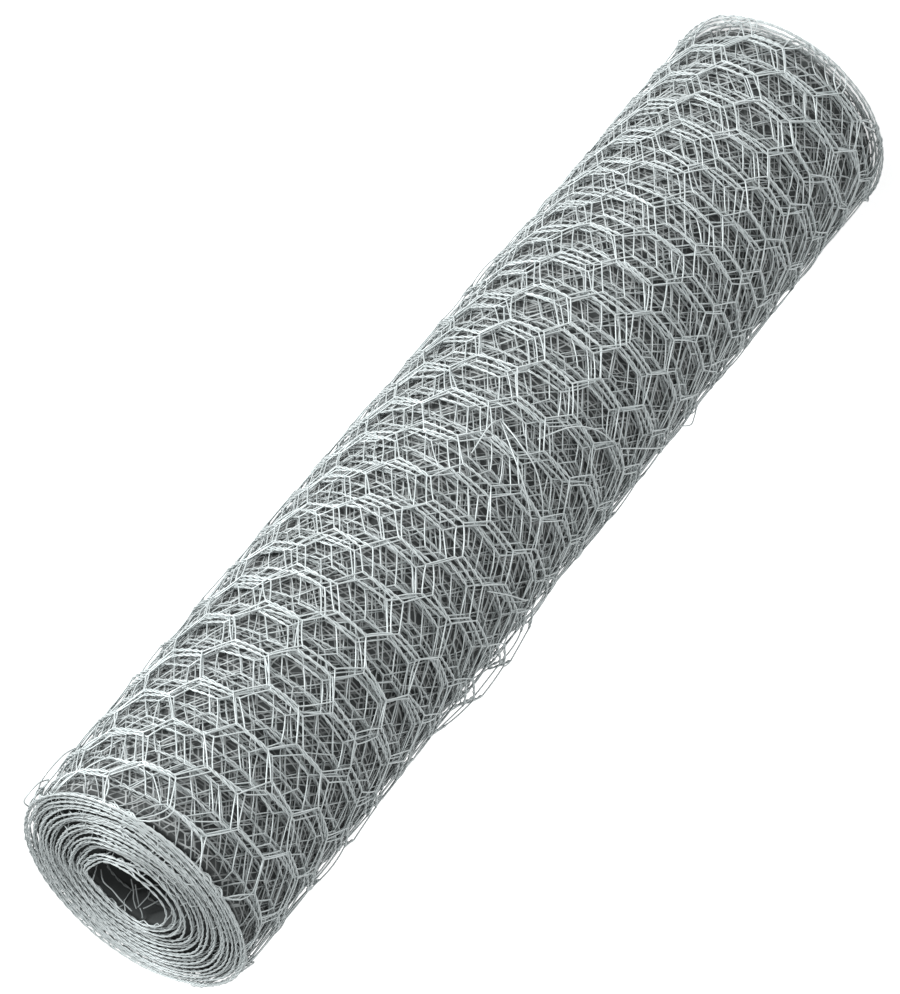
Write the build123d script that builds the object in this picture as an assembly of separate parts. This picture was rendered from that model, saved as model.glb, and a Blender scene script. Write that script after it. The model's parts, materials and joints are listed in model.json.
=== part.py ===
"""A roll of hexagonal wire netting, standing on one end.

The roll stands along Z on the plane z = 0, with its free end between the -X and +Y sides.
It is one coiled sheet, so it is one solid: a spiral-sided drum with a round bore, and the gap
between its turns is cut as a spiral channel into both ends. The netting lies two deep in each
turn of the solid. Sizes are in millimetres.
"""

import math
import os

from build123d import *

# Driving dimensions
NETTING_WIDTH = 600.0  # width of the netting, which is the height of the standing roll
ROLL_DIAMETER = 131.0  # across the seam line, from the outside to the outside
BORE_RADIUS = 18.0  # round space left down the middle
BORE_OFFSET = 7.0  # how far the bore has sunk away from the middle of the roll
TURNS = 16  # whole turns of two layers each, from the bore to the seam line
EDGES_THICKNESS = 1.8  # the edges of two layers of netting, each of two wires laid together
END_DEPTH = 5.0  # how deep the gap between the turns is cut into each end

# Angles round the roll, in degrees. The netting is wound clockwise seen from above
SEAM_ANGLE = -105.0  # from +X towards +Y: the seam line points to the thick side of the coil
FREE_END_SWEEP = 105.0  # how far the last turn runs on past the seam line
MOUTH_SWEEP = 3.0  # the channel runs on past the free end, so that it opens there

# The coil is tighter on the side towards which its bore has sunk
COIL_WALLS = ROLL_DIAMETER - 2 * (BORE_RADIUS + EDGES_THICKNESS)
THICK_PITCH = (COIL_WALLS / 2 + BORE_OFFSET) / TURNS
THIN_PITCH = (COIL_WALLS / 2 - BORE_OFFSET) / (TURNS - 0.5)


def seam_crossing(half_turn, outside):
    """Where the sheet crosses the seam line after that many half turns, from the bore's axis."""
    if half_turn % 2 == 0:
        return BORE_RADIUS + half_turn / 2 * THICK_PITCH + outside
    return -(BORE_RADIUS + half_turn / 2 * THIN_PITCH + outside)


def turn_arc(half_turn, outside, start=0.0, end=180.0):
    """One half turn of a face of the sheet, or a stretch of it, as an arc between two angles."""
    near = seam_crossing(half_turn, outside)
    far = seam_crossing(half_turn + 1, outside)
    middle = (near + far) / 2
    radius = (near - far) / 2

    def at(angle):
        return (
            middle + radius * math.cos(math.radians(angle)),
            radius * math.sin(math.radians(angle)),
        )

    return ThreePointArc(at(start), at((start + end) / 2), at(end))


def outline():
    """The roll seen from its end: the last turn of the sheet, closed by its free end."""
    edges = [
        turn_arc(2 * TURNS - 2, EDGES_THICKNESS, start=FREE_END_SWEEP),
        turn_arc(2 * TURNS - 1, EDGES_THICKNESS),
        turn_arc(2 * TURNS, EDGES_THICKNESS, end=FREE_END_SWEEP),
    ]
    edges.append(Line(edges[-1] @ 1, edges[0] @ 0))
    return make_face(edges)


def channel():
    """The gap between the turns: it starts a turn outside the bore and opens at the free end."""
    sweep = FREE_END_SWEEP + MOUTH_SWEEP
    inner_wall = [turn_arc(h, EDGES_THICKNESS) for h in range(2 * TURNS - 2)]
    inner_wall.append(turn_arc(2 * TURNS - 2, EDGES_THICKNESS, end=sweep))
    outer_wall = [turn_arc(h, 0.0) for h in range(2, 2 * TURNS)]
    outer_wall.append(turn_arc(2 * TURNS, 0.0, end=sweep))
    start = Line(inner_wall[0] @ 0, outer_wall[0] @ 0)
    mouth = Line(inner_wall[-1] @ 1, outer_wall[-1] @ 1)
    return make_face([*inner_wall, *outer_wall, start, mouth])


def end_plane(height):
    """A level plane with its first axis along the seam line, and facing down, so that angles
    drawn on it run clockwise seen from above, as the netting is wound."""
    angle = math.radians(SEAM_ANGLE)
    return Plane(
        origin=(0, 0, height), x_dir=(math.cos(angle), math.sin(angle), 0), z_dir=(0, 0, -1)
    )


def netting_roll():
    """The coiled sheet as one solid, standing on z = 0 with its middle above the origin."""
    lower_end = end_plane(0)
    upper_end = end_plane(NETTING_WIDTH)
    roll = extrude(lower_end * outline(), NETTING_WIDTH, dir=(0, 0, 1))
    roll -= extrude(lower_end * Circle(BORE_RADIUS), NETTING_WIDTH, dir=(0, 0, 1))
    roll -= extrude(lower_end * channel(), END_DEPTH, dir=(0, 0, 1))
    roll -= extrude(upper_end * channel(), END_DEPTH, dir=(0, 0, -1))
    box = roll.bounding_box()
    return Pos(-box.center().X, -box.center().Y, 0) * roll


def main():
    os.makedirs("parts", exist_ok=True)
    roll = netting_roll()
    roll.label = "netting_roll"
    export_step(roll, "parts/netting_roll.step")


main()
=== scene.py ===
"""The looks of a roll of hexagonal wire netting, standing on its end.

The netting is made of its real wires. Each wire runs the length of the sheet and goes to
and fro between two columns of twists. In a twist it is laid round its neighbour, and between
two twists it slants across. The flat sheet has two coordinates, the height up the roll and
the count of meshes along the sheet, and the coil turns them into places in space.
"""

import json
import math

import bpy
import numpy as np
from mathutils import Matrix, Vector


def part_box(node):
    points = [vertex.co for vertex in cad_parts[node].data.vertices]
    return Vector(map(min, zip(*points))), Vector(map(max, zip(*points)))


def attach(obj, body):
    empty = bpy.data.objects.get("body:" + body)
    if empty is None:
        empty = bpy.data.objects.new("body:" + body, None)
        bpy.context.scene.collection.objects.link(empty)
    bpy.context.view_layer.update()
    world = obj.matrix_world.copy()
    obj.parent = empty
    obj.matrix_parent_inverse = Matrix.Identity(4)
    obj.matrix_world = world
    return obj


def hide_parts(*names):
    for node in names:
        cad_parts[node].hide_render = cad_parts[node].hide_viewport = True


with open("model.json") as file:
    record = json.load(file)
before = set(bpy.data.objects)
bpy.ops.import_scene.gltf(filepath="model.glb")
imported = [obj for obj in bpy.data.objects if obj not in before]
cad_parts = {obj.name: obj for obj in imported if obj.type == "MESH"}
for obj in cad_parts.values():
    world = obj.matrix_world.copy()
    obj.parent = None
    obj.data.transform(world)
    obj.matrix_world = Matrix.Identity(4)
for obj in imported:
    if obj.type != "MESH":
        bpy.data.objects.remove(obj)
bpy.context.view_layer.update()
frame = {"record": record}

MM = 0.001
TURN = 2 * math.pi
random = np.random.default_rng(25)

# The roll, as the frame gives it
ROLL_LOW, ROLL_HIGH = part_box("netting_roll")
HEIGHT = ROLL_HIGH.z - ROLL_LOW.z
ROLL_RADIUS = (ROLL_HIGH.y - ROLL_LOW.y) / 2
bore = next(m for m in frame["record"]["mounts"] if m["name"] == "bore")
BORE_X, BORE_Y = bore["pos_m"][:2]

# The coil: it starts at the bore on its seam line and is wound clockwise seen from above
TURNS = 32
SEAM_ANGLE = math.radians(-105)
FREE_END_SWEEP = math.radians(105)
FULL_SWEEP = TURNS * TURN + FREE_END_SWEEP
FACING_SWEEP = math.radians(15)  # from the middle of the -Y side on to the seam line

# Flats of the bore's angular outline: the way each one faces in degrees, and its distance
BORE_FLATS = (
    (35, 23.0 * MM),
    (-12, 17.0 * MM),
    (-62, 15.4 * MM),
    (-86, 15.8 * MM),
    (-117, 19.5 * MM),
    (-152, 22.0 * MM),
    (180, 22.3 * MM),
    (143, 20.6 * MM),
    (98, 16.8 * MM),
    (75, 17.0 * MM),
)
FLAT_SHARPNESS = 12
BORE_DEEPER = 0.6 * MM  # from the flats to the first turn

# The netting: its columns of twists run round the roll, and its meshes are counted along
# the sheet. A wire takes two steps from a mesh to the next, each a twist and a slant
WIRE_RADIUS = 0.4 * MM
COLUMNS = 45
COLUMN_STEP = HEIGHT / COLUMNS
MESH_PITCH = 57.7 * MM
TWIST_LENGTH = 18.4 * MM
TWIST_RADIUS = 1.04 * WIRE_RADIUS
TWIST_ROUNDS = 2  # times that two wires go round each other in a twist
TWIST_BEND = 0.9  # the share of the coil's curve that a twist takes
STEPS_A_TURN = 14  # steps of a wire in one outer turn
SPARE_MESH = 0.6  # the last twist may run on this far past the end of the coil
TABLE_POINTS = 6000

# The two edges of the netting, each of two wires laid round each other
EDGE_WIRE_RADIUS = 0.34 * MM
EDGE_LAY = 12 * MM
EDGE_LAY_RADIUS = 0.9 * EDGE_WIRE_RADIUS
EDGE_LAY_POINTS = 6
EDGE_INSET = 0.9 * MM
EDGE_TWIST_INSET = 1.5 * MM
EDGE_TWIST_RADIUS = 0.95 * MM
EDGE_ENDS = (-0.3, -0.2)  # meshes from the first twist, and from one more past the last

# How the turns share the wall: closer outside, and drawn together in twos and threes by waves.
# Each wave has its size, its length in turns, how far its phase swings round the roll and from
# which angle, and how far its phase moves from the lower end to the upper one
CLOSER_OUTSIDE = 0.3
BUNCHING = 0.56
BUNCHING_WAVES = ((0.6, 2.9, 1.3, 0.6, 4.0), (0.5, 5.3, 1.9, -1.1, -4.0))
EVEN_TURNS_AT_BORE = 2
EVEN_TURNS_OUTSIDE = 8

# Turns with all their wires, outside and at the bore. Those between have wires at the ends
# only, about one dark mass in painted shade
OUTER_TURNS = 13
BORE_TURNS = 3.3

# Between the ends the outer turns are pressed together: their depths below the outside, for
# some counts of turns, and where that starts below the ends and over what length it grows
PRESSED_TURNS = (0, 3, 6, 14, 40)
PRESSED_DEPTHS = (0.0, 1.2 * MM, 3.0 * MM, 5.5 * MM, 5.5 * MM)
PRESSED_BELOW_ENDS = 3 * MM
PRESSED_GROWS_OVER = 15 * MM

# The dark mass: its distances from the outside between the rims and at them, from the bore and
# from the ends, and how far from the ends its side has drawn in
MASS_BELOW_SIDE = 5.8 * MM
MASS_BELOW_RIMS = 4.8 * MM
MASS_FROM_BORE = 4.5 * MM
MASS_BELOW_ENDS = 4.6 * MM
MASS_DRAWN_IN = 14 * MM
MASS_ROUNDING = 2 * MM
MASS_CORNER_POINTS = 24
MASS_STEPS_ROUND = 144

# Uneven fields: the seed of each, and the length of its ripples in its two coordinates, which
# are the height, and the angle round the roll or the count of meshes
WALL_RIPPLES = (11, 0.16, 2.2)
MESH_RIPPLES = (3, 0.15, 3.1)
WOBBLE_RIPPLES = (12, 0.05, 0.8)
SWAY_RIPPLES = (4, 0.25, 6.3)
STEP_RIPPLES = (5, 1, 1.7)
LEAN_RIPPLES = (8, 0.09, 1)
RIPPLE_WAVES = 5
RIPPLE_PACES = (0.6, 1.4)

# How uneven the netting is
NODE_JITTER = 1.0 * MM
NODE_JITTER_ALONG = 0.8 * MM
LIFT_JITTER = 0.25 * MM
SLANT_BOW = 0.2 * MM
SLANT_BOW_JITTER = 0.35 * MM
SLANT_BEND = 0.3 * MM
MOST_BEND = 1.8  # times its usual size
WALL_UNEVEN = 0.5 * MM
WOBBLE = 0.3 * MM
SWAY = 1.9 * MM
MESH_DRIFT = 0.04
DRIFT_STARTS_WITHIN = 3 * COLUMN_STEP

# The slants beside the edges bow out and bend more, and the upper rim is tucked in
EDGE_BOW = 1.2 * MM
EDGE_BOW_RANGE = (0.4, 1.3)
EDGE_BEND = 2.2 * MM
TUCK = 3.0 * MM
TUCK_REACH = 6 * MM

# The edges of some turns lie deeper than those of others: a wave along the coil, whose phase
# swings once a turn, with a jitter. It is left out near the bore and near the outside
EDGE_STEPS = 2.4 * MM
STEP_MEAN = 0.5
STEP_WAVE = 0.45
STEP_WAVE_SWEEP = 2.1
STEP_SWING = 2.0
STEP_SWING_START = 1.0
STEP_JITTER = 0.3
MOST_STEP = 1.2
LEVEL_TURNS_AT_BORE = 4
LEVEL_TURNS_OUTSIDE = 3

# The outer turns have slid down the roll: how far at some heights, and the count of the
# sheet's last meshes over which that grows
SLID_MESHES = 21
SLID_HEIGHTS = (0.0, 0.07, 0.13, 0.40, 0.555, 0.6)
SLID_BY = (0.0, 9.5 * MM, 9.0 * MM, 5.0 * MM, 4.7 * MM, 0.0)

# Places on the -X side where the last turn or the one before it stands off the roll. Each has
# how many turns before the last one it is, its height, how far off it stands, and its spread
LOOSE_PLACES = (
    (0, 0.388, 6.4 * MM, 0.037),
    (1, 0.391, 3.7 * MM, 0.032),
    (0, 0.515, 1.2 * MM, 0.030),
)
LOOSE_SWEEP = math.radians(72)
LOOSE_MESHES = 0.7

# The inner end of the netting leans into the bore
INNER_END_LEANS = 6 * MM
INNER_END_MESHES = 0.5

# Wires pulled out of place. Points on each: the angle round the roll in degrees, the height
# in metres, and how far off the roll in millimetres, less than 0 where it is in the roll
PULLED_WIRES = (
    ((-80, 0.304, -3), (-94, 0.311, 1.4), (-108, 0.316, 1.6), (-132, 0.330, -3)),
    ((-81, 0.305, -3), (-96, 0.319, 1.2), (-108, 0.327, 1.2), (-124, 0.334, -3)),
    ((-81, 0.303, -3), (-79, 0.313, 1.0), (-80, 0.330, -3)),
    ((-99, 0.299, -3), (-107, 0.281, 1.8), (-118, 0.270, 1.6), (-136, 0.260, -3)),
    ((-134, 0.262, -3), (-147, 0.244, 1.0), (-160, 0.228, 1.0), (-172, 0.215, -3)),
    ((-128, 0.377, -3), (-137, 0.368, 1.2), (-148, 0.358, 1.2), (-155, 0.350, -3)),
    ((-168, 0.205, -1), (-177, 0.193, 2.2), (-174, 0.190, 1.0), (-168, 0.188, -1)),
    ((10, 0.596, -3), (1, 0.600, 1.0), (-3, 0.592, 1.5), (5, 0.581, -1)),
    ((6, 0.590, -1), (-2, 0.585, 1.3), (-3, 0.572, 1.2), (4, 0.560, -1)),
)

# Wires that stand free across the bore near its upper end. Points on each: x and y, and how
# far below the end, in millimetres
CROSSING_WIRES = (
    ((3.7, 12, 10.2), (-0.6, 17, 9.0), (-3.4, 20, 6.9), (-7.4, 22, 5.0)),
    ((0.5, 14, 10.5), (-3.4, 18, 8.7), (-5.9, 20, 7.5), (-7.7, 22, 7.0)),
    ((-7.5, 22, 5.9), (-7.7, 20, 9.1), (-7.8, 18, 11.9), (-7.0, 16, 14.0)),
    ((-9.9, 22, 7.3), (-11.3, 20, 9.7), (-12.3, 17, 11.4), (-13.0, 15, 12.5)),
    ((-8.5, 22, 6.5), (-10.3, 22, 5.5), (-11.8, 23, 4.7), (-12.6, 24, 4.2)),
    ((17.7, 20, 7.8), (13.1, 21, 4.3), (7.0, 22, 4.3), (1.1, 22, 3.2), (-6.6, 23, 3.0)),
)
LOOSE_WIRE_POINTS = 48

# Zinc on the wires, where it is dull and clean, and its painted shade deep in the roll
DULL_ZINC = (0.42, 0.465, 0.465, 1)
CLEAN_ZINC = (0.65, 0.695, 0.70, 1)
SHADED_ZINC = (0.045, 0.05, 0.05, 1)

# Wires get painted shade below the round side, below the ends and down the bore: where that
# starts, and the depth over which they fall to about a third of their brightness. In the bore they
# keep at most a share of it as painted light, out to some distance from its middle
BRIGHT_BELOW_SIDE = 2 * MM
BRIGHT_BELOW_END = 1.5 * MM
SHADE_DEPTH_BELOW_SIDE = 9.0 * MM
SHADE_DEPTH_BELOW_END = 4.8 * MM
SHADE_DEPTH_DOWN_BORE = 10 * MM
BORE_PAINTED_LIGHT = 0.7
BORE_REACHES = 26 * MM
BORE_FADES_OVER = 4 * MM

# The grooves beside the rims get more painted shade: where they end, over what depth, and how much
# faster the shade falls
GROOVE_ENDS = 14 * MM
GROOVE_FADES_OVER = 6 * MM
GROOVE_MORE_SHADE = 2.0

# Netting drawn on the dark mass, in layers, as deeper wires in painted shade. Each layer is moved
# on from the one before in meshes and in columns, is bent by a noise, and is a little brighter
DRAWN_LAYERS = 12
DRAWN_MESHES_ROUND = 6
DRAWN_HALF_WIDTH = 0.45 * MM
DRAWN_ON = 1.04
DRAWN_UP = 0.57
BENT_ON = (0.5, -0.09)  # for the first layer, and more for each layer after it
BENT_UP = (-1.1, 0.2)
DARKEST_DRAWN = 0.09
BRIGHTER_LAYER = 0.03
DRAWN_TINT = 1.06

# The drawing comes in below the ends, and outward from round the middle of the roll
DRAWN_BELOW_ENDS_OVER = 1.5 * MM
UNDRAWN_WITHIN = 36 * MM
DRAWN_OUTWARD_OVER = 14 * MM

# The mass's painted shade between the drawn wires, darker and paler in patches, and where nothing
# is drawn
MASS_DARKER_SHADE = (0.025, 0.028, 0.028, 1)
MASS_PALER_SHADE = (0.08, 0.086, 0.086, 1)
MASS_UNDRAWN = (0.045, 0.049, 0.049, 1)


def ripple(ripples, up, along):
    """A smooth uneven field, mostly between -1 and 1: the sum of a few sine waves over the root
    of their count, each in its own direction over the two coordinates, counted in ripples."""
    seed, up_length, along_length = ripples
    draw = np.random.default_rng(seed)
    up = up / up_length
    along = along / along_length
    total = 0
    for _ in range(RIPPLE_WAVES):
        heading = draw.uniform(0, TURN)
        pace = draw.uniform(*RIPPLE_PACES) * TURN
        start = draw.uniform(0, TURN)
        total = total + np.sin(pace * (up * math.cos(heading) + along * math.sin(heading)) + start)
    return total / math.sqrt(RIPPLE_WAVES)


def smooth(x):
    """A soft step from 0 to 1 as x goes from 0 to 1."""
    x = np.clip(x, 0, 1)
    return x * x * (3 - 2 * x)


def bore_reach(angle):
    """How far the bore's edge is from its middle in each direction. The edge is a rounded
    polygon: the soft smallest of the distances to its flats."""
    nearness = 0
    for facing, distance in BORE_FLATS:
        lean = np.maximum(np.cos(angle - math.radians(facing)), 0)
        nearness = nearness + (lean / distance) ** FLAT_SHARPNESS
    return nearness ** (-1 / FLAT_SHARPNESS)


def outline_reach(angle):
    """How far the coil's round outline is from the bore's middle in each direction. It lies a
    wire's thickness inside the roll's outside."""
    toward = BORE_X * np.cos(angle) + BORE_Y * np.sin(angle)
    radius = ROLL_RADIUS - 2 * WIRE_RADIUS
    return np.sqrt(toward**2 + radius**2 - BORE_X**2 - BORE_Y**2) - toward


def wall_point(angle, turn, height, lift=0):
    """A point in the wall in that direction from the bore's middle, that many turns out.

    Near the ends its reach goes from the bore to the outline with the share e + c e (1 - e)
    of the wall, where e is the turn over all the turns. Away from the ends the outer turns are
    pressed together. The upper rim is tucked in, most on the -Y side."""
    inside = bore_reach(angle) + BORE_DEEPER
    outside = outline_reach(angle)
    even = turn / TURNS
    share = even + CLOSER_OUTSIDE * even * (1 - even)
    to_edge = np.minimum(height, HEIGHT - height)
    tuck = TUCK * share * (1 - np.sin(angle)) / 2 * np.exp((height - HEIGHT) / TUCK_REACH)
    uneven = WALL_UNEVEN * share * ripple(WALL_RIPPLES, height, angle)
    even_reach = inside + share * (outside - inside)
    turns_deep = FULL_SWEEP / TURN - turn
    pressed_reach = outside - np.interp(turns_deep, PRESSED_TURNS, PRESSED_DEPTHS)
    pressed = np.clip((turn - BORE_TURNS) / (TURNS - OUTER_TURNS - BORE_TURNS), 0, 1)
    pressed = pressed * smooth((to_edge - PRESSED_BELOW_ENDS) / PRESSED_GROWS_OVER)
    reach = even_reach + pressed * (pressed_reach - even_reach) - tuck + uneven + lift
    x = BORE_X + reach * np.cos(angle)
    y = BORE_Y + reach * np.sin(angle)
    return np.stack([x, y, height + 0 * x], axis=-1)


def coil(sweep, height, lift=0):
    """Points on the coiled sheet. The sweep is the angle wound from the seam line in the bore.
    Sine waves over the turns draw some neighbours together, and their phase changes round the
    roll and up it."""
    angle = SEAM_ANGLE - sweep
    turn = sweep / TURN
    uneven = smooth(turn / EVEN_TURNS_AT_BORE)
    uneven = uneven * smooth((FULL_SWEEP - sweep) / TURN / EVEN_TURNS_OUTSIDE)
    bunched = 0
    for size, turns, swing, swing_start, moved in BUNCHING_WAVES:
        phase = TURN * turn / turns + swing * np.sin(angle + swing_start) + moved * height / HEIGHT
        bunched = bunched + size * np.sin(phase)
    return wall_point(angle, turn + BUNCHING * uneven * bunched, height, lift)


def sheet_table():
    """The sweep and the count of meshes at many places along the sheet. The count grows with
    the length of the coil's line at half its height."""
    sweep = np.linspace(0, FULL_SWEEP, TABLE_POINTS)
    line = coil(sweep, HEIGHT / 2 + 0 * sweep, 0)
    length = np.linalg.norm(np.gradient(line, axis=0), axis=-1)
    return sweep, np.cumsum(length) / MESH_PITCH


# The twists are counted so that one of the last whole turn is in the middle of the -Y side
SWEEP_TABLE, MESH_TABLE = sheet_table()
FACING_MESH = np.interp(TURNS * TURN - FACING_SWEEP, SWEEP_TABLE, MESH_TABLE)
FIRST_MESH = 0.5 + (FACING_MESH - 0.5) % 1
TWISTS = int(MESH_TABLE[-1] - FIRST_MESH + SPARE_MESH)
LAST_MESH = FIRST_MESH + TWISTS - 0.5
LOOSE_MESHES_AT = [
    np.interp((TURNS - before_last) * TURN + LOOSE_SWEEP, SWEEP_TABLE, MESH_TABLE)
    for before_last in (0, 1)
]


def edge_step(near_edge, height, mesh, sweep):
    """How far points near an edge of the netting are moved into the roll: a sine wave along the
    coil, whose phase also swings with a sine of the sweep, and a jitter. There is none near
    the two ends of the sheet."""
    inward = np.where(height < HEIGHT / 2, 1, -1)
    phase = sweep / STEP_WAVE_SWEEP + STEP_SWING * np.sin(sweep + STEP_SWING_START)
    step = STEP_MEAN + STEP_WAVE * np.sin(phase)
    step = np.clip(step + STEP_JITTER * ripple(STEP_RIPPLES, 0 * mesh, mesh), 0, MOST_STEP)
    step = step * smooth(sweep / TURN / LEVEL_TURNS_AT_BORE)
    step = step * smooth((FULL_SWEEP - sweep) / TURN / LEVEL_TURNS_OUTSIDE)
    return near_edge * EDGE_STEPS * step * inward


def stand_off(height, mesh):
    """How far the sheet stands off: at each loose place a bell curve along the sheet, times a
    flatter one up the roll, and at the inner end a lean into the bore that varies with height."""
    gap = 0
    for before_last, middle, far, spread in LOOSE_PLACES:
        along = (mesh - LOOSE_MESHES_AT[before_last]) / LOOSE_MESHES
        gap = gap + far * np.exp(-(along**2) - ((height - middle) / spread) ** 4)
    lean = INNER_END_LEANS * (1 + ripple(LEAN_RIPPLES, height, 0 * mesh))
    return gap - lean * np.exp(-((mesh / INNER_END_MESHES) ** 2))


def sheet(height, mesh, lift=0):
    """Points in space for points on the sheet, with what handling has done to them. Uneven
    fields move them along the sheet, up and down, and in and out. The edges hold the netting,
    so near them it moves less along and up. The outer turns have slid down, and some edges
    lie deeper."""
    drifts = smooth(np.minimum(height, HEIGHT - height) / DRIFT_STARTS_WITHIN)
    moved = mesh + MESH_DRIFT * drifts * ripple(MESH_RIPPLES, height, mesh)
    sweep = np.interp(moved, MESH_TABLE, SWEEP_TABLE)
    wobble = WOBBLE * ripple(WOBBLE_RIPPLES, height, mesh)
    sway = drifts * SWAY * ripple(SWAY_RIPPLES, height, mesh)
    slid = np.interp(height, SLID_HEIGHTS, SLID_BY)
    slid = slid * np.clip((mesh - LAST_MESH) / SLID_MESHES + 1, 0, 1)
    step = edge_step(1 - drifts, height, mesh, sweep)
    return coil(sweep, height + sway - slid + step, lift + wobble + stand_off(height, mesh))


def twist_axes():
    """Both ends of the axis of every twist, as an array by column, twist, end and xyz. The
    twists of neighbouring columns are half a mesh apart."""
    column, twist, end = np.meshgrid(
        np.arange(COLUMNS + 1), np.arange(TWISTS), (-0.5, 0.5), indexing="ij"
    )
    shape = column.shape
    inside = (column > 0) & (column < COLUMNS)
    height = np.clip(column * COLUMN_STEP, EDGE_TWIST_INSET, HEIGHT - EDGE_TWIST_INSET)
    height = height + inside * NODE_JITTER * random.standard_normal(shape)
    mesh = FIRST_MESH + twist + 0.5 * (column % 2) + end * TWIST_LENGTH / MESH_PITCH
    mesh = mesh + NODE_JITTER_ALONG / MESH_PITCH * random.standard_normal(shape)
    lift = LIFT_JITTER * random.standard_normal(shape)
    return sheet(height, mesh, lift)


def away_from_bore(points):
    """The level direction from the middle of the bore to each point."""
    level = points - np.array([BORE_X, BORE_Y, 0])
    level[..., 2] = 0
    return level / np.linalg.norm(level, axis=-1, keepdims=True)


def unit(vectors):
    """Each vector at length 1."""
    return vectors / np.linalg.norm(vectors, axis=-1, keepdims=True)


def wire_paths(axes, wires, first, last, twist_points, slant_points):
    """The middle lines of some wires over a stretch of the sheet, by wire, point and xyz.

    Step s of a wire is a twist in one of its two columns and the slant to the next twist.
    In the twist the line is a helix about the twist's axis, which bends with the turn: its
    rise over the chord is length squared / 8 reach. The slant is a straight line with a bow
    outward and a bend sideways, which are larger beside the edges of the netting."""
    wires = np.asarray(wires)[:, None]
    steps = np.arange(first, last)[None, :]
    column = wires + (wires + steps) % 2
    start = axes[column, steps // 2, 0]
    end = axes[column, steps // 2, 1]
    along = unit(end - start)
    out = away_from_bore(start)
    across = unit(np.cross(out, along))
    out = np.cross(along, across)
    on_far_side = np.where(column == wires, 0.0, math.pi)
    edge_column = (column == 0) | (column == COLUMNS)
    helix_radius = np.where(edge_column, EDGE_TWIST_RADIUS, TWIST_RADIUS)[..., None, None]
    share = np.linspace(0, 1, twist_points)
    curve = 4 * share * (1 - share)
    reach = np.hypot(start[..., 0] - BORE_X, start[..., 1] - BORE_Y)
    rise = TWIST_BEND * TWIST_LENGTH**2 / 8 / reach[..., None, None] * curve[:, None]
    phase = on_far_side[..., None] + TWIST_ROUNDS * TURN * share
    helix = np.cos(phase)[..., None] * across[..., None, :]
    helix = helix + np.sin(phase)[..., None] * out[..., None, :]
    twist = start[..., None, :] + share[:, None] * (end - start)[..., None, :]
    twist = twist + helix_radius * helix + rise * out[..., None, :]
    leave = twist[:, :-1, -1]
    arrive = twist[:, 1:, 0]
    share = np.linspace(0, 1, slant_points + 2)[1:-1, None]
    slant = leave[..., None, :] + share * (arrive - leave)[..., None, :]
    by_edge = edge_column[:, :-1] | edge_column[:, 1:]
    bow = SLANT_BOW + SLANT_BOW_JITTER * random.standard_normal(by_edge.shape)
    edge_bow = EDGE_BOW * random.uniform(*EDGE_BOW_RANGE, by_edge.shape) * by_edge
    bow = (bow + edge_bow)[..., None, None]
    uneven = np.clip(random.standard_normal(by_edge.shape), -MOST_BEND, MOST_BEND)
    bend = ((SLANT_BEND + EDGE_BEND * by_edge) * uneven)[..., None, None]
    outward = away_from_bore(slant)
    sideways = np.cross(outward, unit(arrive - leave)[..., None, :])
    slant = slant + 4 * share * (1 - share) * (bow * outward + bend * sideways)
    body = np.concatenate([twist[:, :-1], slant], axis=2)
    body = body.reshape(len(wires), -1, 3)
    return np.concatenate([body, twist[:, -1]], axis=1)


def edge_wire_paths(height):
    """The two wires of an edge of the netting, laid round each other all along the sheet: two
    helices, half a turn apart, about a line at that height."""
    points = int(EDGE_LAY_POINTS * TWISTS * MESH_PITCH / EDGE_LAY)
    mesh = FIRST_MESH + np.linspace(EDGE_ENDS[0], TWISTS + EDGE_ENDS[1], points)
    middle = sheet(np.full(points, height), mesh)
    along = unit(np.gradient(middle, axis=0))
    out = away_from_bore(middle)
    across = unit(np.cross(out, along))
    phase = np.arange(points) * TURN / EDGE_LAY_POINTS
    helix = np.cos(phase)[:, None] * across + np.sin(phase)[:, None] * out
    offset = EDGE_LAY_RADIUS * helix
    return np.stack([middle + offset, middle - offset])


def smooth_line(points):
    """A smooth line through some points. Between two of them it is the cubic whose slope at
    each is half the way from the point before it to the point after it. At the line's ends
    the slope is the way to the next point or from the last."""
    points = np.array(points)
    slope = np.gradient(points, axis=0)
    place = np.linspace(0, len(points) - 1, LOOSE_WIRE_POINTS)
    before = np.minimum(place.astype(int), len(points) - 2)
    part = (place - before)[:, None]
    step = points[before + 1] - points[before]
    line = points[before] + part * part * (3 - 2 * part) * step
    line = line + part * (1 - part) ** 2 * slope[before]
    return line + part * part * (part - 1) * slope[before + 1]


def pulled_wire_paths():
    """The pulled wires, from their angles, heights and distances off the roll."""
    lines = np.stack([smooth_line(points) for points in PULLED_WIRES])
    angle = np.radians(lines[..., 0])
    reach = ROLL_RADIUS + MM * lines[..., 2]
    return np.stack([reach * np.cos(angle), reach * np.sin(angle), lines[..., 1]], axis=-1)


def crossing_wire_paths():
    """The wires across the bore, from their places and depths below the upper end."""
    lines = MM * np.stack([smooth_line(points) for points in CROSSING_WIRES])
    lines[..., 2] = HEIGHT - lines[..., 2]
    return lines


def add_piece(name, mesh, material):
    """A piece of the roll from its mesh."""
    mesh.shade_smooth()
    mesh.materials.append(material)
    piece = bpy.data.objects.new(name, mesh)
    bpy.context.scene.collection.objects.link(piece)
    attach(piece, "root")
    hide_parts("netting_roll")


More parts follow.
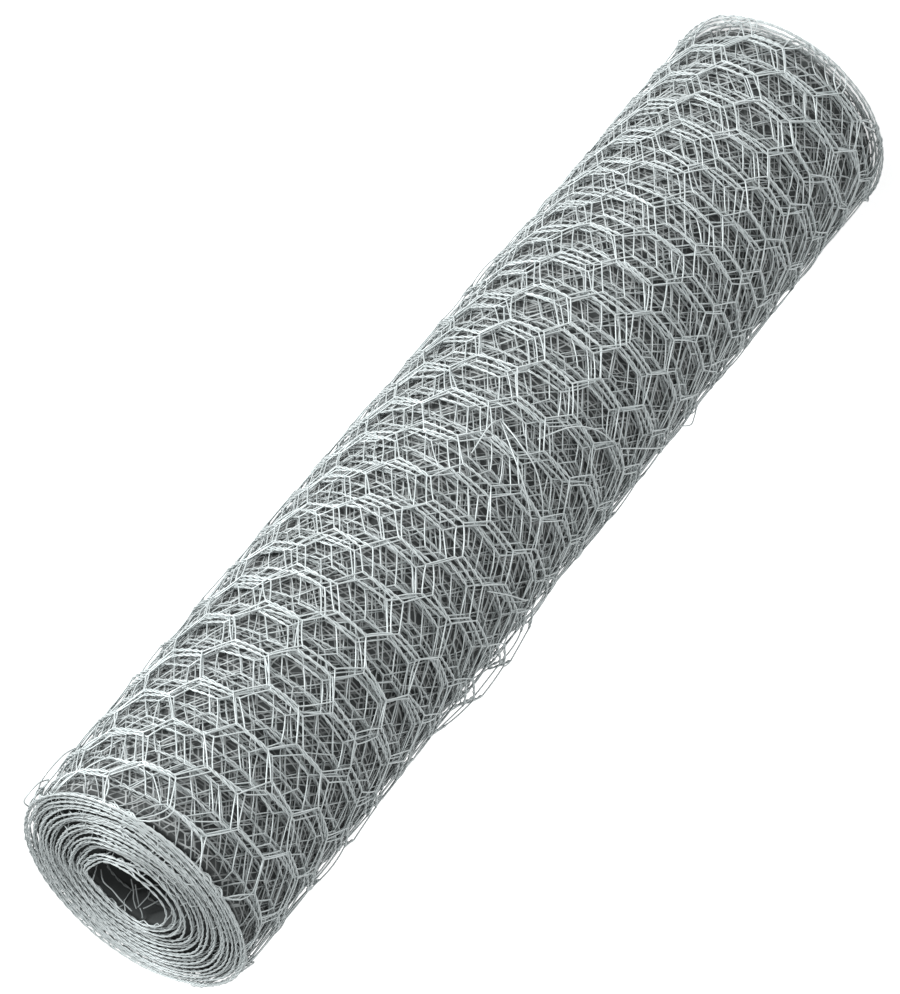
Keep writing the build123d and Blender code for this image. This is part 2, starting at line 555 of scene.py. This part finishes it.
def add_wires(name, paths, radius, sides, material):
    """Round wires along many paths of equally many points: a ring about each point, square to
    the path there, whose first point is also square to the way out from the bore. The ends
    are closed."""
    count, points, _ = paths.shape
    along = unit(np.gradient(paths, axis=1))
    side = unit(np.cross(along, away_from_bore(paths)))
    out = np.cross(side, along)
    turn = np.arange(sides) * TURN / sides
    ring = np.cos(turn)[:, None] * side[:, :, None, :] + np.sin(turn)[:, None] * out[:, :, None, :]
    places = paths[:, :, None, :] + radius * ring
    number = np.arange(count * points * sides).reshape(count, points, sides)
    after = np.roll(number, -1, axis=2)
    walls = np.stack([number[:, :-1], number[:, 1:], after[:, 1:], after[:, :-1]], axis=-1)
    walls = walls.reshape(-1, 4)
    caps = np.concatenate([number[:, 0], number[:, -1, ::-1]])
    loops = np.concatenate([walls.ravel(), caps.ravel()])
    wall_starts = 4 * np.arange(len(walls))
    cap_starts = 4 * len(walls) + sides * np.arange(len(caps))
    starts = np.concatenate([wall_starts, cap_starts])
    mesh = bpy.data.meshes.new(name)
    mesh.vertices.add(count * points * sides)
    mesh.vertices.foreach_set("co", places.astype(np.float32).ravel())
    mesh.loops.add(len(loops))
    mesh.loops.foreach_set("vertex_index", loops.astype(np.int32))
    mesh.polygons.add(len(starts))
    mesh.polygons.foreach_set("loop_start", starts.astype(np.int32))
    mesh.update(calc_edges=True)
    mesh.validate()
    add_piece(name, mesh, material)


def add_mass(name, material):
    """The turns between the outer ones and those at the bore, as one closed ring, which is
    coloured as painted shade. Its section is a rectangle with rounded corners, carried round the
    bore, and its outer side is drawn in between the rims, where the outer turns are pressed
    together."""
    corner = (np.arange(MASS_CORNER_POINTS) + 0.5) * TURN / MASS_CORNER_POINTS
    angle = np.arange(MASS_STEPS_ROUND)[:, None] * TURN / MASS_STEPS_ROUND
    inner = bore_reach(angle) + MASS_FROM_BORE
    outer = outline_reach(angle) - MASS_BELOW_RIMS
    half_wall = (outer - inner) / 2 - MASS_ROUNDING
    half_height = HEIGHT / 2 - MASS_BELOW_ENDS - MASS_ROUNDING
    reach = (inner + outer) / 2 + np.sign(np.cos(corner)) * half_wall
    reach = reach + MASS_ROUNDING * np.cos(corner)
    height = HEIGHT / 2 + np.sign(np.sin(corner)) * half_height + MASS_ROUNDING * np.sin(corner)
    drawn_in = outline_reach(angle) - MASS_BELOW_SIDE
    reach = np.concatenate([reach, drawn_in, drawn_in], axis=1)
    height = np.append(height, [MASS_DRAWN_IN, HEIGHT - MASS_DRAWN_IN])
    x = BORE_X + reach * np.cos(angle)
    y = BORE_Y + reach * np.sin(angle)
    places = np.stack([x, y, height + 0 * x], axis=-1)
    number = np.arange(x.size).reshape(x.shape)
    ahead = np.roll(number, -1, axis=0)
    faces = [number, ahead, np.roll(ahead, -1, axis=1), np.roll(number, -1, axis=1)]
    mesh = bpy.data.meshes.new(name)
    mesh.from_pydata(places.reshape(-1, 3), [], np.stack(faces, axis=-1).reshape(-1, 4))
    add_piece(name, mesh, material)


class Value:
    """A number that varies over a surface. Sums and products of it add Math nodes."""

    def __init__(self, shader, socket):
        self.shader = shader
        self.socket = socket

    def __add__(self, other):
        return self.shader.math("ADD", self, other)

    def __sub__(self, other):
        return self.shader.math("SUBTRACT", self, other)

    def __rsub__(self, other):
        return self.shader.math("SUBTRACT", other, self)

    def __mul__(self, other):
        return self.shader.math("MULTIPLY", self, other)

    def __pow__(self, other):
        return self.shader.math("POWER", self, other)

    def __rpow__(self, other):
        return self.shader.math("POWER", other, self)

    def __mod__(self, other):
        return self.shader.math("FLOORED_MODULO", self, other)

    def __abs__(self):
        return self.shader.math("ABSOLUTE", self, 0.0)

    __radd__ = __add__
    __rmul__ = __mul__


class Shader:
    """The nodes of one material or of the world."""

    def __init__(self, tree):
        self.tree = tree
        self.tree.nodes.clear()

    def node(self, kind, settings, inputs, output=0):
        """A node of that type, with its settings, its inputs by name or number, and the output
        that is wanted from it."""
        made = self.tree.nodes.new(kind)
        for setting, value in settings.items():
            setattr(made, setting, value)
        for key, value in inputs.items():
            if isinstance(value, Value):
                self.tree.links.new(value.socket, made.inputs[key])
            else:
                made.inputs[key].default_value = value
        return Value(self, made.outputs[output]) if made.outputs else None

    def math(self, operation, first, second, clamp=False):
        """A Math node on two numbers."""
        settings = {"operation": operation, "use_clamp": clamp}
        return self.node("ShaderNodeMath", settings, {0: first, 1: second})

    def least(self, first, second):
        """The smaller of two numbers."""
        return self.math("MINIMUM", first, second)

    def most(self, first, second):
        """The larger of two numbers."""
        return self.math("MAXIMUM", first, second)

    def clamped(self, value):
        """The number kept between 0 and 1."""
        return self.math("MULTIPLY", value, 1.0, clamp=True)

    def mix_colours(self, factor, first, second):
        """The first colour where the factor is 0 and the second where it is 1."""
        settings = {"data_type": "RGBA", "clamp_factor": True}
        return self.node("ShaderNodeMix", settings, {0: factor, 6: first, 7: second}, output=2)

    def place(self, axis):
        """One coordinate of the point on the object."""
        point = self.node("ShaderNodeTexCoord", {}, {}, output="Object")
        return self.node("ShaderNodeSeparateXYZ", {}, {"Vector": point}, output=axis)

    def noise(self, scale, detail):
        """A noise over the object."""
        point = self.node("ShaderNodeTexCoord", {}, {}, output="Object")
        inputs = {"Vector": point, "Scale": scale, "Detail": detail}
        return self.node("ShaderNodeTexNoise", {}, inputs)

    def rays_that_see_white(self):
        """1 for rays from the camera, in reflections and through glass, 0 for the others."""
        seen = [
            self.node("ShaderNodeLightPath", {}, {}, output=kind)
            for kind in ("Is Camera Ray", "Is Glossy Ray", "Is Transmission Ray")
        ]
        return self.most(self.most(seen[0], seen[1]), seen[2])


def new_material(name):
    """An empty material, and the shader that fills it."""
    material = bpy.data.materials.new(name)
    material.use_nodes = True
    return material, Shader(material.node_tree)


def painted_light_share(shader):
    """The share of painted light against painted shade: 1 at the roll's outside, falling to 0 with
    the depth below its round side, below its ends or down its bore, whichever leaves the point
    most open. It falls faster in the grooves beside the rims."""
    x, y, z = (shader.place(axis) for axis in "XYZ")
    below_side = ROLL_RADIUS - (x * x + y * y) ** 0.5
    below_end = shader.least(z, HEIGHT - z)
    # Painted shade falls faster in the grooves beside the rims
    groove = shader.clamped((GROOVE_ENDS - below_end) * (1 / GROOVE_FADES_OVER))
    pace = (1.0 + GROOVE_MORE_SHADE * groove) * (-1 / SHADE_DEPTH_BELOW_SIDE)
    from_side = math.e ** (shader.most(below_side - BRIGHT_BELOW_SIDE, 0.0) * pace)
    depth = shader.most(below_end - BRIGHT_BELOW_END, 0.0)
    from_end = math.e ** (depth * (-1 / SHADE_DEPTH_BELOW_END))
    from_bore_middle = ((x - BORE_X) * (x - BORE_X) + (y - BORE_Y) * (y - BORE_Y)) ** 0.5
    in_bore = shader.clamped((BORE_REACHES - from_bore_middle) * (1 / BORE_FADES_OVER))
    # Painted light down the bore, strongest near its mouth
    down_bore = BORE_PAINTED_LIGHT * in_bore * math.e ** (below_end * (-1 / SHADE_DEPTH_DOWN_BORE))
    return shader.most(shader.most(from_side, from_end), down_bore)


def galvanized_wire():
    """Zinc on steel wire: light grey with a cool cast, in dull and clean patches, finely grained.
    Deep in the roll it is darkened towards near black by painted shade."""
    material, shader = new_material("galvanized_wire")
    patches = shader.noise(scale=60.0, detail=3.0)
    grain = shader.noise(scale=900.0, detail=2.0)
    zinc = shader.mix_colours(patches, DULL_ZINC, CLEAN_ZINC)
    # Painted shade: the zinc darkens to near black with depth in the roll
    colour = shader.mix_colours(painted_light_share(shader), SHADED_ZINC, zinc)
    bump_inputs = {"Strength": 0.15, "Distance": 0.2 * MM, "Height": grain}
    bump = shader.node("ShaderNodeBump", {}, bump_inputs)
    surface = shader.node(
        "ShaderNodeBsdfPrincipled",
        {},
        {"Base Color": colour, "Roughness": 0.42 + 0.2 * grain, "Metallic": 0.45, "Normal": bump},
    )
    shader.node("ShaderNodeOutputMaterial", {}, {"Surface": surface})
    return material


def netting_lines(shader, around, up):
    """1 on the wires of a flat drawing of the netting and 0 between them. One unit round is a
    mesh and one unit up is a column. Folded at the middle of a mesh, each column has half a
    twist at its foot, half a twist at its top, and a slant between their ends. The slant's
    distance is measured round the roll and taken at four fifths, because it lies at a slope."""
    column = up - up % 1.0
    rise = up % 1.0
    folded = shader.math("PINGPONG", around - 0.5 * (column % 2.0), 0.5)
    half_twist = TWIST_LENGTH / MESH_PITCH / 2
    slant = half_twist + (0.5 - 2 * half_twist) * rise
    to_slant = abs(folded - slant) * (0.8 * MESH_PITCH)
    to_foot = shader.most(rise * COLUMN_STEP, (folded - half_twist) * MESH_PITCH)
    to_top = shader.most((1 - rise) * COLUMN_STEP, (0.5 - half_twist - folded) * MESH_PITCH)
    nearest = shader.least(to_slant, shader.least(to_foot, to_top))
    soft_edge = 0.4 * DRAWN_HALF_WIDTH
    return shader.clamped((DRAWN_HALF_WIDTH - nearest) * (1 / soft_edge))


def painted_shade_deep_turns():
    """The mass of turns deep in the roll, coloured as painted shade: nearly black between the
    drawn wires of many turns, which are drawn dim as in shade. Its ends and its bore are nearly
    black all over."""
    material, shader = new_material("painted_shade_deep_turns")
    x, y, z = (shader.place(axis) for axis in "XYZ")
    round_share = shader.math("ARCTAN2", y, x) * (1 / TURN)
    # Patches of darker and paler painted shade, and of roughness
    dull = shader.noise(scale=35.0, detail=3.0)
    bent = shader.noise(scale=30.0, detail=1.0) - 0.5
    colour = shader.mix_colours(dull, MASS_DARKER_SHADE, MASS_PALER_SHADE)
    for layer in range(DRAWN_LAYERS):
        meshes_round = DRAWN_MESHES_ROUND + layer % 2
        bent_on = bent * (BENT_ON[0] + BENT_ON[1] * layer)
        bent_up = bent * (BENT_UP[0] + BENT_UP[1] * layer)
        around = round_share * meshes_round + bent_on + DRAWN_ON * layer
        up = z * (1 / COLUMN_STEP) + bent_up + DRAWN_UP * layer
        # Painted shade on the drawn wires, a little less on each later layer
        drawn = DARKEST_DRAWN + BRIGHTER_LAYER * layer
        wire_colour = (drawn, DRAWN_TINT * drawn, DRAWN_TINT * drawn, 1)
        colour = shader.mix_colours(netting_lines(shader, around, up), colour, wire_colour)
    below_end = shader.least(z, HEIGHT - z)
    from_middle = (x * x + y * y) ** 0.5
    seen = shader.clamped((below_end - MASS_BELOW_ENDS) * (1 / DRAWN_BELOW_ENDS_OVER))
    seen = seen * shader.clamped((from_middle - UNDRAWN_WITHIN) * (1 / DRAWN_OUTWARD_OVER))
    # Near the ends and round the roll's middle the painted shade is nearly black, with nothing
    # drawn
    colour = shader.mix_colours(seen, MASS_UNDRAWN, colour)
    surface = shader.node(
        "ShaderNodeBsdfPrincipled",
        {},
        {"Base Color": colour, "Roughness": 0.75 + 0.2 * dull, "Specular IOR Level": 0.12},
    )
    shader.node("ShaderNodeOutputMaterial", {}, {"Surface": surface})
    return material


wire_finish = galvanized_wire()
axes = twist_axes()
steps_in_all = 2 * TWISTS
bore_steps = int(2 * np.interp(BORE_TURNS * TURN, SWEEP_TABLE, MESH_TABLE))
every_wire = np.arange(COLUMNS)
wires_at_ends = (0, 1, COLUMNS - 2, COLUMNS - 1)


def turns_from_outside(count):
    """The step at which that many outer turns begin."""
    return steps_in_all - count * STEPS_A_TURN


def netting(name, first, last, twist_points, slant_points, sides, wires=every_wire):
    """A stretch of the netting as one piece, from one step to another."""
    last = min(last + 1, steps_in_all)
    paths = wire_paths(axes, wires, first, last, twist_points, slant_points)
    add_wires(name, paths, WIRE_RADIUS, sides, wire_finish)


# The outer turns get plainer with their depth: the counts of turns between which each piece
# lies, the points in a twist and in a slant, and the sides of the wires
for name, begins, stops, twist_points, slant_points, sides in (
    ("outer_turn_1", 1, 0, 13, 3, 5),
    ("outer_turn_2", 2, 1, 13, 3, 5),
    ("outer_turn_3", 3, 2, 11, 2, 4),
    ("turns_4_to_5", 5, 3, 9, 2, 4),
    ("turns_6_to_9", 9, 5, 7, 1, 3),
    ("turns_10_to_13", OUTER_TURNS, 9, 7, 1, 3),
):
    first = turns_from_outside(begins)
    netting(name, first, turns_from_outside(stops), twist_points, slant_points, sides)
netting("bore_turns", 0, bore_steps, twist_points=9, slant_points=2, sides=4)
mass_stops = turns_from_outside(OUTER_TURNS)
netting("turns_at_ends", bore_steps - 1, mass_stops, 5, 3, sides=4, wires=wires_at_ends)
for name, height in (("upper_edge", HEIGHT - EDGE_INSET), ("lower_edge", EDGE_INSET)):
    add_wires(name, edge_wire_paths(height), EDGE_WIRE_RADIUS, sides=4, material=wire_finish)
loose_paths = np.concatenate([pulled_wire_paths(), crossing_wire_paths()])
add_wires("pulled_wires", loose_paths, WIRE_RADIUS, sides=5, material=wire_finish)
add_mass("painted_shade_deep_turns", painted_shade_deep_turns())


def floor():
    """A plain pale floor, which the camera and reflections see as white with a faint shadow."""
    bpy.ops.mesh.primitive_plane_add(size=12)
    plane = bpy.context.object
    plane.name = "floor"
    material, shader = new_material("floor")
    pale = shader.node("ShaderNodeBsdfDiffuse", {}, {"Color": (0.8, 0.8, 0.8, 1)})
    glow = shader.node("ShaderNodeEmission", {}, {"Color": (1, 1, 1, 1), "Strength": 0.66})
    lit = shader.node("ShaderNodeAddShader", {}, {0: pale, 1: glow})
    seen = shader.rays_that_see_white()
    surface = shader.node("ShaderNodeMixShader", {}, {0: seen, 1: pale, 2: lit})
    shader.node("ShaderNodeOutputMaterial", {}, {"Surface": surface})
    plane.data.materials.append(material)


def lamp(name, place, aim, size, power):
    """A square soft lamp at a place, turned to face another."""
    data = bpy.data.lights.new(name, "AREA")
    data.size = size
    data.energy = power
    made = bpy.data.objects.new(name, data)
    made.location = place
    made.rotation_euler = (Vector(aim) - Vector(place)).to_track_quat("-Z", "Y").to_euler()
    bpy.context.scene.collection.objects.link(made)


def studio():
    """Soft light from all round, a stronger soft lamp on the +X side, and a weak one on the
    other side and above."""
    world = bpy.data.worlds.new("studio")
    world.use_nodes = True
    shader = Shader(world.node_tree)
    soft = shader.node("ShaderNodeBackground", {}, {"Color": (1, 1, 1, 1), "Strength": 0.45})
    white = shader.node("ShaderNodeBackground", {}, {"Color": (1, 1, 1, 1), "Strength": 1.0})
    seen = shader.rays_that_see_white()
    light = shader.node("ShaderNodeMixShader", {}, {0: seen, 1: soft, 2: white})
    shader.node("ShaderNodeOutputWorld", {}, {"Surface": light})
    bpy.context.scene.world = world
    middle = (0, 0, HEIGHT / 2)
    lamp("key", place=(1.9, -0.9, 1.3), aim=middle, size=1.0, power=66)
    lamp("fill", place=(-1.0, -1.5, 1.9), aim=middle, size=1.4, power=9)


def camera():
    """The photograph's view: from the front and above, with the picture turned."""
    data = bpy.data.cameras.new("camera")
    data.sensor_width = 36
    data.lens = 177.0
    made = bpy.data.objects.new("camera", data)
    azimuth = math.radians(1.2595)
    elevation = math.radians(31.864)
    roll = math.radians(140.20)
    level = math.cos(elevation)
    back = Vector((math.sin(azimuth) * level, -math.cos(azimuth) * level, math.sin(elevation)))
    upright = (-back).to_track_quat("-Z", "Y")
    turned = Matrix.Rotation(-roll, 3, "Z")
    made.matrix_world = (upright.to_matrix() @ turned).to_4x4()
    made.location = (49.63 * MM, -2082.8 * MM, 1614.0 * MM)
    bpy.context.scene.collection.objects.link(made)
    bpy.context.scene.camera = made


floor()
studio()
camera()
bpy.context.scene.view_settings.view_transform = "Standard"
